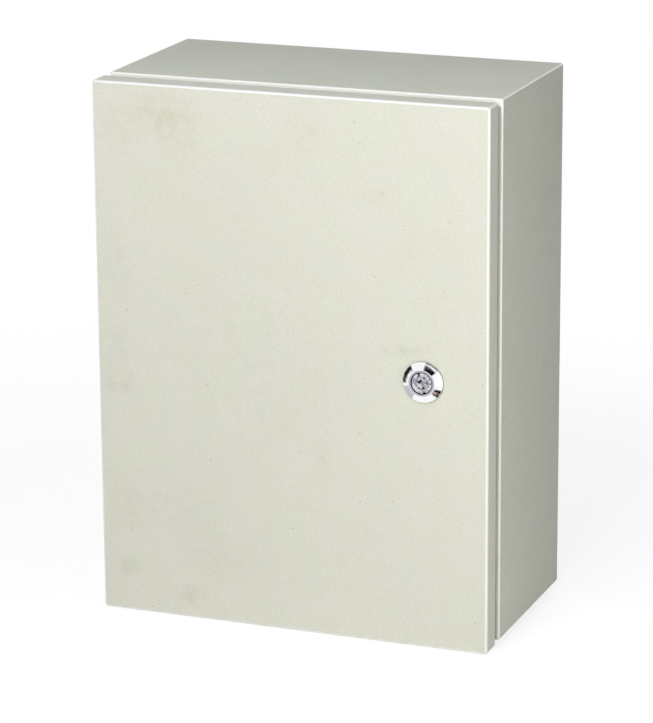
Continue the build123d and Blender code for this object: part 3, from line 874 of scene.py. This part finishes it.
def build_fixings(group, plural, axis, from_high, gauge, pitch, zinc):
    """Threaded studs with chamfered nuts where a group of the CAD has plain ones.

    The bore of the nuts is measured from the first stud, across it along the gauge axis.
    """
    stud_node = f"{group}_stud{plural}"
    grid = bmesh.new()
    index = "XYZ".index(axis)
    studs = solids(stud_node)
    for low, high in studs:
        size = high - low
        across = max(size[i] for i in range(3) if i != index)
        matrix = long_axis(axis, low, high, from_high)
        threaded_rod(grid, across / 2, size[index], matrix, pitch)
    finish_piece(f"{group}_thread{plural}", grid, zinc, [stud_node])
    low, high = studs[0]
    side = "XYZ".index(gauge)
    bore = (high[side] - low[side]) / 2 + bpy.context.scene.cabinet_hardware.thread_play
    build_nuts(f"{group}_hex_nut{plural}", f"{group}_nut{plural}", axis, bore, zinc)


class CABINET_OT_paint_body(Operator):
    """Powder coats the folded body"""

    bl_idname = "cabinet.paint_body"
    bl_label = "Paint body"

    def execute(self, context):
        settings = context.scene.cabinet_paint
        # The front frame's bends lie in the plane that the hinges are screwed to.
        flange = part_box("upper_hinge_body_leaf")[1].y
        coat = powder_coated_steel(
            "body powder coat",
            settings.body_colour,
            settings,
            Vector((BODY_LOW.x, flange, BODY_LOW.z)),
            BODY_HIGH,
            settings.body_bend,
            # Width of the band of painted light along the top of the front frame.
            frame_light_band=5.0 * MM,
        )
        give(["cabinet_body"], coat)
        return {"FINISHED"}


class CABINET_OT_paint_door(Operator):
    """Powder coats the door and marks it as handled"""

    bl_idname = "cabinet.paint_door"
    bl_label = "Paint door"

    def execute(self, context):
        settings = context.scene.cabinet_paint
        # Only the front bends get the painted highlight: the rim at the back of the door is a bare
        # fold.
        behind = Vector((DOOR_HIGH.x, DOOR_HIGH.y + 1.0, DOOR_HIGH.z))
        coat = powder_coated_steel(
            "door powder coat",
            settings.door_colour,
            settings,
            DOOR_LOW,
            behind,
            settings.door_bend,
            DOOR_MARKS,
        )
        give(["door_panel"], coat)
        return {"FINISHED"}


class CABINET_OT_dress_lock(Operator):
    """Turns the lock case and its nut, and finishes the plug, core and cam"""

    bl_idname = "cabinet.dress_lock"
    bl_label = "Dress lock"

    def execute(self, context):
        settings = context.scene.cabinet_lock
        hardware = context.scene.cabinet_hardware
        chrome = chromed_zinc("polished chrome", settings.chrome_colour)
        satin = satin_nickel("satin nickel", settings.satin_colour)
        zinc = bright_zinc_plate("zinc plate of the lock", hardware.zinc_colour)
        rubber = moulded_rubber("lock ring rubber", context.scene.cabinet_seal.rubber_colour)
        self.turn_case(settings, chrome)
        bore = settings.barrel_radius + hardware.thread_play
        build_nuts("lock_hex_nut", "lock_nut", "Y", bore, zinc, facets=144)
        self.turn_screw(hardware, zinc)
        give(["lock_plug", "lock_core"], satin)
        give(["lock_cam", "cam_washer"], zinc)
        self.press_ring(settings, rubber)
        soften_edges(["lock_plug", "lock_core"], 0.12 * MM)
        soften_edges(["lock_cam"], 0.3 * MM)
        return {"FINISHED"}

    def turn_case(self, settings, chrome):
        """The bevelled head with its groove, and the threaded barrel behind it."""
        length = LOCK_HIGH.y - LOCK_LOW.y
        face = settings.face_radius
        groove = settings.groove_radius
        barrel = settings.barrel_radius
        stem = settings.stem_radius
        pitch = settings.barrel_pitch
        foot = settings.head_height
        rim_top = foot - settings.rim_height
        soft = 0.14 * MM
        slope = (LOCK_RADIUS - face) / rim_top
        profile = [
            (stem, settings.groove_depth), (groove, settings.groove_depth), (groove, soft),
            (groove + 0.3 * soft, 0.3 * soft), (groove + soft, 0.0), (groove + 1.5 * soft, 0.0),
            (face - 1.5 * soft, 0.0), (face - soft, 0.0), (face + 0.2 * soft, 0.15 * soft),
            (face + slope * soft, soft),
        ]
        # The flank between face and rim swells very slightly, as polishing leaves it.
        flank_steps = 12
        for step in range(1, flank_steps):
            share = step / flank_steps
            height = soft + (rim_top - 2 * soft) * share
            swell = 0.10 * MM * math.sin(math.pi * share)
            profile.append((face + slope * height + swell, height))
        profile += [
            (LOCK_RADIUS - 0.6 * soft, rim_top - 0.5 * soft), (LOCK_RADIUS, rim_top + soft),
            (LOCK_RADIUS, foot - soft), (LOCK_RADIUS - soft, foot), (barrel, foot),
        ]
        root = THREAD_DEPTH * pitch
        rows = int((length - foot) / pitch * THREAD_ROWS)
        for row in range(1, rows):
            profile.append((barrel, foot + (length - foot) * row / rows, True))
        profile += [(barrel - root, length), (stem, length)]
        grid = bmesh.new()
        matrix = axis_matrix("Y", LOCK_CENTRE)
        revolve(grid, profile, matrix, segments=128, pitch=pitch, root=root, closed=True)
        finish_piece("lock_case", grid, chrome, ["lock_housing"], crease=24.0)

    def turn_screw(self, hardware, zinc):
        """The screw that holds the cam: a hexagon head on a threaded shank."""
        grid = bmesh.new()
        (low, high), = solids("cam_screw")
        flats = high.z - low.z
        height = 0.4 * flats
        length = high.y - low.y - height
        shank = long_axis("Y", low, high, True) @ Matrix.Translation((0.0, 0.0, height))
        threaded_rod(grid, 0.3 * flats, length, shank, hardware.coarse_pitch)
        head = long_axis("Y", low, high, False) @ Matrix.Translation((0.0, 0.0, length))
        hexagon_nut(grid, flats, height, 0.0, head, solid=True)
        finish_piece("cam_hex_screw", grid, zinc, ["cam_screw"])

    def press_ring(self, settings, rubber):
        """The rubber ring under the head, squeezed until its edge bulges."""
        low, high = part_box("lock_seal")
        # Squeezed flat, it shows as a thin dark line round the foot of the head.
        flat = LOCK_RADIUS + 0.05 * MM - 0.35 * MM
        inner = settings.barrel_radius + 0.2 * MM
        thick = high.y - low.y
        profile = [(inner, 0.0), (flat, 0.0)]
        edge_steps = 8
        for step in range(1, edge_steps):
            angle = math.pi * step / edge_steps
            bulge = flat + 0.33 * MM * math.sin(angle)
            profile.append((bulge, thick * (1 - math.cos(angle)) / 2))
        profile += [(flat, thick), (inner, thick)]
        grid = bmesh.new()
        centre = Vector((LOCK_CENTRE.x, low.y, LOCK_CENTRE.z))
        revolve(grid, profile, axis_matrix("Y", centre), segments=96, closed=True)
        finish_piece("lock_ring", grid, rubber, ["lock_seal"])


class CABINET_OT_pour_seal(Operator):
    """Pours the foamed seal round the inside of the door"""

    bl_idname = "cabinet.pour_seal"
    bl_label = "Pour door seal"

    def execute(self, context):
        settings = context.scene.cabinet_seal
        foam = foamed_polyurethane("foamed polyurethane", settings.foam_colour)
        low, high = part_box("door_gasket")
        half_bead = settings.bead_width / 2
        half_x = (high.x - low.x) / 2 - half_bead
        half_z = (high.z - low.z) / 2 - half_bead
        radius = settings.bead_corner
        centre = (low + high) / 2

        # The bead's middle line: points and outward normals, once round.
        line = []
        corner_steps = 8
        for side_x, side_z, start in ((1, 1, 0.0), (-1, 1, 90.0), (-1, -1, 180.0), (1, -1, 270.0)):
            hub = Vector((side_x * (half_x - radius), 0.0, side_z * (half_z - radius)))
            for step in range(corner_steps + 1):
                angle = math.radians(start + 90.0 * step / corner_steps)
                out = Vector((math.cos(angle), 0.0, math.sin(angle)))
                line.append((hub + out * radius, out))
        path = []
        for (point, out), (following, _) in zip(line, line[1:] + line[:1]):
            path.append((point, out))
            gap = (following - point).length
            # Only the straight runs are longer than this, and they get a ring every 5 mm.
            if gap > 20 * MM:
                steps = int(gap / (5 * MM))
                path += [(point.lerp(following, step / steps), out) for step in range(1, steps)]

        grid = bmesh.new()
        rings = []
        width_steps = 18
        for point, out in path:
            # The pour starts and ends in the middle of the lower edge.
            start_of_pour = math.exp(-((point.x / (9 * MM)) ** 2)) if point.z < 0 else 0.0
            # The hand that pours wavers a little.
            wave = math.sin(point.x * 61.0) * math.sin(point.z * 47.0 + 1.0)
            height = (high.y - low.y) * (0.955 + 0.02 * wave + 0.02 * start_of_pour)
            width = half_bead * (0.97 + 0.015 * wave + 0.01 * start_of_pour)
            ring = []
            for step in range(width_steps + 1):
                # A low dome with a shallow furrow where the lip presses.
                across = -1.0 + 2.0 * step / width_steps
                dome = (1.0 - abs(across) ** 3.0) ** 0.45
                furrow = 0.05 * math.exp(-((across / 0.24) ** 2))
                place = centre + point + out * (across * width)
                place.y = low.y + height * (dome - furrow) if abs(across) < 1.0 else low.y
                ring.append(grid.verts.new(place))
            rings.append(ring)
        join_rings(grid, zip(rings, rings[1:] + rings[:1]))
        finish_piece("foam_seal_bead", grid, foam, ["door_gasket"], crease=60.0)
        return {"FINISHED"}


class CABINET_OT_fit_hinges(Operator):
    """Finishes both hinges with their pins, screws, studs and nuts"""

    bl_idname = "cabinet.fit_hinges"
    bl_label = "Fit hinges"

    def execute(self, context):
        hardware = context.scene.cabinet_hardware
        zinc = bright_zinc_plate("zinc plate of the hinges", hardware.zinc_colour)
        leaves = [
            f"{place}_hinge_{side}_leaf" for side in ("body", "door") for place in ("upper", "lower")
        ]
        give(leaves + ["upper_hinge_pin", "lower_hinge_pin", "hinge_screws"], zinc)
        soften_edges(leaves, 0.2 * MM)
        build_fixings("door_hinge", "s", "Y", False, "Z", hardware.fine_pitch, zinc)
        # The 4 mm bore of a nut that is 7 mm over its flats can't be seen from its box.
        low, high = solids("hinge_nuts")[0]
        bore = (high.z - low.z) * 2 / 7 + hardware.thread_play
        build_nuts("flange_hex_nuts", "hinge_nuts", "Y", bore, zinc)
        return {"FINISHED"}


class CABINET_OT_fit_mounting_plate(Operator):
    """Finishes the galvanised mounting plate and its fixings"""

    bl_idname = "cabinet.fit_mounting_plate"
    bl_label = "Fit mounting plate"

    def execute(self, context):
        hardware = context.scene.cabinet_hardware
        sheet = hot_dip_galvanised_steel("galvanised mounting plate", hardware.sheet_colour)
        zinc = bright_zinc_plate("zinc plate of the mounting plate", hardware.zinc_colour)
        give(["mounting_plate"], sheet)
        give(["plate_spacers", "plate_washers"], zinc)
        build_fixings("plate", "s", "Y", True, "X", hardware.coarse_pitch, zinc)
        return {"FINISHED"}


class CABINET_OT_fit_gland_plate(Operator):
    """Finishes the gland plate, its seal, its fixings and the two cable grommets"""

    bl_idname = "cabinet.fit_gland_plate"
    bl_label = "Fit gland plate"

    def execute(self, context):
        hardware = context.scene.cabinet_hardware
        seal = context.scene.cabinet_seal
        sheet = hot_dip_galvanised_steel("galvanised gland plate", hardware.sheet_colour)
        zinc = bright_zinc_plate("zinc plate of the gland plate", hardware.zinc_colour)
        rubber = moulded_rubber("moulded rubber", seal.rubber_colour)
        give(["gland_plate"], sheet)
        give(["gland_gasket"], rubber)
        give(["gland_washers"], zinc)
        build_fixings("gland", "s", "Z", False, "X", hardware.fine_pitch, zinc)
        grid = bmesh.new()
        for low, high in solids("cable_grommets"):
            profile = self.grommet_profile(low, high, seal.membrane)
            revolve(grid, profile, long_axis("Z", low, high, False), segments=72)
        finish_piece("stepped_grommets", grid, rubber, ["cable_grommets"], crease=40.0)
        return {"FINISHED"}

    def grommet_profile(self, low, high, skin):
        """A grommet from its lower face: two collars round the plate, and a stepped skin."""
        plate_low, plate_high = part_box("gland_plate")
        outer = (high.x - low.x) / 2
        waist = outer - 4.1 * MM
        bore = outer - 8.0 * MM
        length = high.z - low.z
        under = plate_low.z - low.z
        over = plate_high.z - low.z
        soft = 0.7 * MM
        profile = [
            (0.0, 0.0), (outer * 0.25, 0.0), (bore + soft, 0.0), (outer - soft, 0.0),
            (outer - 0.3 * soft, 0.3 * soft), (outer, soft), (outer, under - 0.2 * soft),
            (outer - 0.2 * soft, under), (waist, under), (waist, over),
            (outer - 0.2 * soft, over), (outer, over + 0.2 * soft), (outer, length - soft),
            (outer - 0.3 * soft, length - 0.3 * soft), (outer - soft, length),
            (bore + soft, length), (bore + 0.3 * soft, length - 0.3 * soft),
            (bore, length - soft), (bore, skin + 1.6 * MM),
        ]
        # Steps in the membrane, one for each size of cable that it can be cut for.
        for share, rise in ((0.78, 1.6), (0.56, 1.1), (0.34, 0.6)):
            profile.append((bore * share + soft, skin + rise * MM))
            profile.append((bore * share, skin + (rise - 0.5) * MM))
        return profile + [(0.0, skin)]


class CABINET_OT_fit_earthing(Operator):
    """Finishes the earthing studs on the body and on the door"""

    bl_idname = "cabinet.fit_earthing"
    bl_label = "Fit earthing"

    def execute(self, context):
        hardware = context.scene.cabinet_hardware
        zinc = bright_zinc_plate("zinc plate of the earthing", hardware.zinc_colour)
        for group, axis, from_high in (("body_earth", "X", True), ("door_earth", "Y", False)):
            build_fixings(group, "", axis, from_high, "Z", hardware.coarse_pitch, zinc)
            give([f"{group}_washer"], zinc)
        return {"FINISHED"}


def add_lamp(name, place, aim, size, power, colour="#FFFFFF", mirrored=True, turn=0.0):
    """A soft rectangular lamp at a place, facing a point."""
    lamp = bpy.data.lights.new(name, "AREA")
    lamp.shape = "RECTANGLE"
    lamp.size, lamp.size_y = size
    lamp.energy = power
    lamp.color = linear(colour)
    holder = bpy.data.objects.new(name, lamp)
    bpy.context.collection.objects.link(holder)
    holder.location = place
    facing = (Vector(aim) - Vector(place)).to_track_quat("-Z", "Y")
    holder.rotation_euler = (facing @ Quaternion((0.0, 0.0, 1.0), turn)).to_euler()
    holder.visible_camera = False
    holder.visible_glossy = mirrored


def sphere_point(angle, tilt):
    """The direction that leans from the front by tilt, toward an angle round the front."""
    return Vector((math.cos(angle) * math.sin(tilt), -math.cos(tilt), math.sin(angle) * math.sin(tilt)))


def mirrored_patch(view, angles, tilts, distance):
    """Corners of the flat patch that a part of the lock's head mirrors to the camera.

    The part lies between two angles round the head and between two tilts from its front.
    """
    steps = 6
    directions = []
    for tilt in (tilt for tilt in tilts if tilt > 0.0):
        row = []
        for step in range(steps + 1):
            angle = angles[0] + (angles[1] - angles[0]) * step / steps
            normal = sphere_point(math.radians(angle), math.radians(tilt))
            row.append(2.0 * normal.dot(view) * normal - view)
        directions += reversed(row) if directions else row
    axis = sum(directions, Vector()).normalized()
    return [LOCK_CENTRE + ray * (distance / ray.dot(axis)) for ray in directions]


def add_panel(name, corners, material):
    """A flat stage panel through its corners."""
    mesh = bpy.data.meshes.new(name)
    mesh.from_pydata([tuple(c) for c in corners], [], [tuple(range(len(corners)))])
    mesh.materials.append(material)
    panel = bpy.data.objects.new(name, mesh)
    bpy.context.collection.objects.link(panel)
    return panel


def seen_directly(tree):
    """1 for what the camera sees directly, by reflection or through glass, else 0."""
    path = add_node(tree, "ShaderNodeLightPath").outputs
    first = {0: path["Is Camera Ray"], 1: path["Is Glossy Ray"]}
    both = {
        0: add_node(tree, "ShaderNodeMath", first, operation="MAXIMUM"),
        1: path["Is Transmission Ray"],
    }
    return add_node(tree, "ShaderNodeMath", both, operation="MAXIMUM")


def studio_floor(name, colour):
    """Matt white seamless paper: even, bright, and keeping a soft shadow."""
    material, tree, place = empty_material(name)
    fibre = noise_socket(tree, place, 40.0, detail=3.0)
    tone = coated(tree, scaled(colour, 0.985), (fibre, colour))
    paper = add_node(tree, "ShaderNodeBsdfDiffuse", {"Color": tone})
    shadowed = add_node(tree, "ShaderNodeBsdfDiffuse", {"Color": opaque((0.30,) * 3)})
    glow = add_node(tree, "ShaderNodeEmission", {"Color": WHITE, "Strength": 0.80})
    lit = add_node(tree, "ShaderNodeAddShader", {0: shadowed, 1: glow})
    # Away from the cabinet the paper runs out into plain white.
    reach = add_node(tree, "ShaderNodeVectorMath", {0: place}, operation="LENGTH")
    run_out = add_node(
        tree,
        "ShaderNodeMapRange",
        {"Value": reach.outputs["Value"], "From Min": 0.35, "From Max": 0.9},
        interpolation_type="SMOOTHSTEP",
    )
    white = add_node(tree, "ShaderNodeEmission", {"Color": WHITE, "Strength": 1.0})
    bright = add_node(tree, "ShaderNodeMixShader", {0: run_out, 1: lit, 2: white})
    shader = add_node(tree, "ShaderNodeMixShader", {0: seen_directly(tree), 1: paper, 2: bright})
    add_node(tree, "ShaderNodeOutputMaterial", {"Surface": shader})
    return material


def black_velvet(name):
    """Black velvet on a frame: it gives polished metal something dark to mirror."""
    material, tree, place = empty_material(name)
    pile = noise_socket(tree, place, 3.0)
    tone = coated(tree, (0.002,) * 3, (pile, (0.006,) * 3))
    shader = add_node(tree, "ShaderNodeBsdfDiffuse", {"Color": tone})
    add_node(tree, "ShaderNodeOutputMaterial", {"Surface": shader})
    return material


def photo_card(name, colour):
    """Matt photo card, lit evenly: polished metal mirrors it as one flat colour."""
    material, tree, place = empty_material(name)
    fibre = noise_socket(tree, place, 8.0)
    tone = coated(tree, scaled(colour, 0.95), (fibre, colour))
    shader = add_node(tree, "ShaderNodeEmission", {"Color": tone, "Strength": 1.0})
    add_node(tree, "ShaderNodeOutputMaterial", {"Surface": shader})
    return material


class CABINET_OT_build_stage(Operator):
    """Builds the floor, the lamps, the black flags, the background and the camera"""

    bl_idname = "cabinet.build_stage"
    bl_label = "Build stage"

    def execute(self, context):
        settings = context.scene.cabinet_stage
        self.lay_floor(settings)
        self.light_room(context.scene, settings)
        self.place_lamps()
        azimuth, elevation = settings.azimuth, settings.elevation
        back = Vector(
            (
                math.sin(azimuth) * math.cos(elevation),
                -math.cos(azimuth) * math.cos(elevation),
                math.sin(elevation),
            )
        )
        self.hang_flags(back)
        self.place_camera(context, settings, back)
        context.scene.view_settings.view_transform = "Standard"
        return {"FINISHED"}

    def lay_floor(self, settings):
        """A square of seamless paper just under the door."""
        paper = studio_floor("white studio paper", settings.floor_colour)
        level = DOOR_LOW.z - 0.5 * MM
        half = 6.0
        sides = ((-half, -half), (half, -half), (half, half), (-half, half))
        add_panel("floor", [(x, y, level) for x, y in sides], paper)

    def light_room(self, scene, settings):
        """A white room that the camera sees plainly, and that lights the cabinet faintly."""
        world = bpy.data.worlds.new("white room")
        scene.world = world
        world.use_nodes = True
        tree = world.node_tree
        tree.nodes.clear()
        faint = {"Color": WHITE, "Strength": settings.room_light}
        room = add_node(tree, "ShaderNodeBackground", faint)
        seen = add_node(tree, "ShaderNodeBackground", {"Color": WHITE, "Strength": 1.0})
        mixed = {0: seen_directly(tree), 1: room, 2: seen}
        surface = add_node(tree, "ShaderNodeMixShader", mixed)
        add_node(tree, "ShaderNodeOutputWorld", {"Surface": surface})

    def place_lamps(self):
        """Soft lamps in front and behind, and strips whose gleam runs along the bends."""
        middle = (BODY_LOW + BODY_HIGH) / 2
        ridge = Vector((0.0, DOOR_LOW.y, BODY_HIGH.z))
        edge = Vector((BODY_HIGH.x, DOOR_LOW.y, 0.0))
        shoulder = Vector((BODY_HIGH.x, 0.0, BODY_HIGH.z))
        lean = math.radians(-38.0)
        add_lamp("key lamp", (0.0, -1.5, 0.9), middle, (0.8, 0.8), 16.4, mirrored=False)
        add_lamp("right lamp", (1.2, -0.6, 0.1), middle, (0.25, 1.1), 1.7)
        add_lamp("right strip", (0.55, -0.6, 0.0), edge, (0.12, 0.8), 1.15)
        add_lamp("top lamp", (-0.2, -0.35, 1.35), middle, (1.0, 0.5), 1.2, COOL_WHITE)
        add_lamp("top strip", (0.0, -0.55, 0.75), ridge, (0.8, 0.12), 0.7, COOL_WHITE)
        add_lamp("rim strip", (0.59, 1.4, 0.77), shoulder, (0.75, 0.14), 1.0, turn=lean)
        add_lamp("back lamp", (-0.2, 1.5, 0.5), middle, (0.8, 0.8), 10.0, mirrored=False)

    def hang_flags(self, back):
        """The flags and cards that the lock mirrors, seen from the way back to the camera."""
        velvet = black_velvet("black velvet")
        for name, colour, angles, tilts, distance in LOCK_PANELS:
            cloth = photo_card(name, linear(colour)) if colour else velvet
            flag = add_panel(name, mirrored_patch(back, angles, tilts, distance), cloth)
            # Only mirror-like metal sees the flags; they take no light off the paint.
            flag.visible_camera = False
            flag.visible_diffuse = False
            flag.visible_shadow = False
            flag.visible_transmission = False

    def place_camera(self, context, settings, back):
        """The camera, which looks along its own -Z at the middle of the cabinet."""
        camera_data = bpy.data.cameras.new("camera")
        camera_data.sensor_width = 36.0
        camera_data.lens = settings.lens
        camera_data.clip_start = 0.05
        camera_data.clip_end = 50.0
        camera = bpy.data.objects.new("camera", camera_data)
        context.collection.objects.link(camera)
        right = Vector((math.cos(settings.azimuth), math.sin(settings.azimuth), 0.0))
        upright = Matrix((right, back.cross(right), back)).transposed()
        turned = upright @ Matrix.Rotation(settings.roll, 3, "Z")
        # The middle of the cabinet stands a little off the middle of the picture.
        aim = Vector((0.0, -65 * MM, 0.0))
        offset = Vector((-11.3 * MM, -22.9 * MM, settings.distance))
        camera.matrix_world = Matrix.Translation(aim + turned @ offset) @ turned.to_4x4()
        context.scene.camera = camera


OPERATORS = (
    CABINET_OT_paint_body,
    CABINET_OT_paint_door,
    CABINET_OT_dress_lock,
    CABINET_OT_pour_seal,
    CABINET_OT_fit_hinges,
    CABINET_OT_fit_mounting_plate,
    CABINET_OT_fit_gland_plate,
    CABINET_OT_fit_earthing,
    CABINET_OT_build_stage,
)

SETTINGS = {
    "cabinet_paint": CabinetPaintSettings,
    "cabinet_hardware": CabinetHardwareSettings,
    "cabinet_lock": CabinetLockSettings,
    "cabinet_seal": CabinetSealSettings,
    "cabinet_stage": CabinetStageSettings,
}


class CABINET_PT_sidebar(Panel):
    """Lists the cabinet's settings and its operators"""

    bl_idname = "CABINET_PT_sidebar"
    bl_label = "Cabinet"
    bl_space_type = "VIEW_3D"
    bl_region_type = "UI"
    bl_category = "Cabinet"

    def draw(self, context):
        column = self.layout.column()
        for name, group in SETTINGS.items():
            settings = getattr(context.scene, name)
            for key in group.__annotations__:
                column.prop(settings, key)
        for operator in OPERATORS:
            column.operator(operator.bl_idname)


CLASSES = (*SETTINGS.values(), *OPERATORS, CABINET_PT_sidebar)


def register():
    """Registers the classes and puts the settings on the scene."""
    for cls in CLASSES:
        bpy.utils.register_class(cls)
    for name, group in SETTINGS.items():
        setattr(bpy.types.Scene, name, PointerProperty(type=group))


def unregister():
    """Takes the settings off the scene and unregisters the classes."""
    for name in SETTINGS:
        delattr(bpy.types.Scene, name)
    for cls in reversed(CLASSES):
        bpy.utils.unregister_class(cls)


def main():
    """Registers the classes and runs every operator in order."""
    register()
    bpy.ops.cabinet.build_stage()
    bpy.ops.cabinet.paint_body()
    bpy.ops.cabinet.paint_door()
    bpy.ops.cabinet.dress_lock()
    bpy.ops.cabinet.pour_seal()
    bpy.ops.cabinet.fit_hinges()
    bpy.ops.cabinet.fit_mounting_plate()
    bpy.ops.cabinet.fit_gland_plate()
    bpy.ops.cabinet.fit_earthing()
    bpy.context.view_layer.update()


if __name__ == "__main__":
    main()
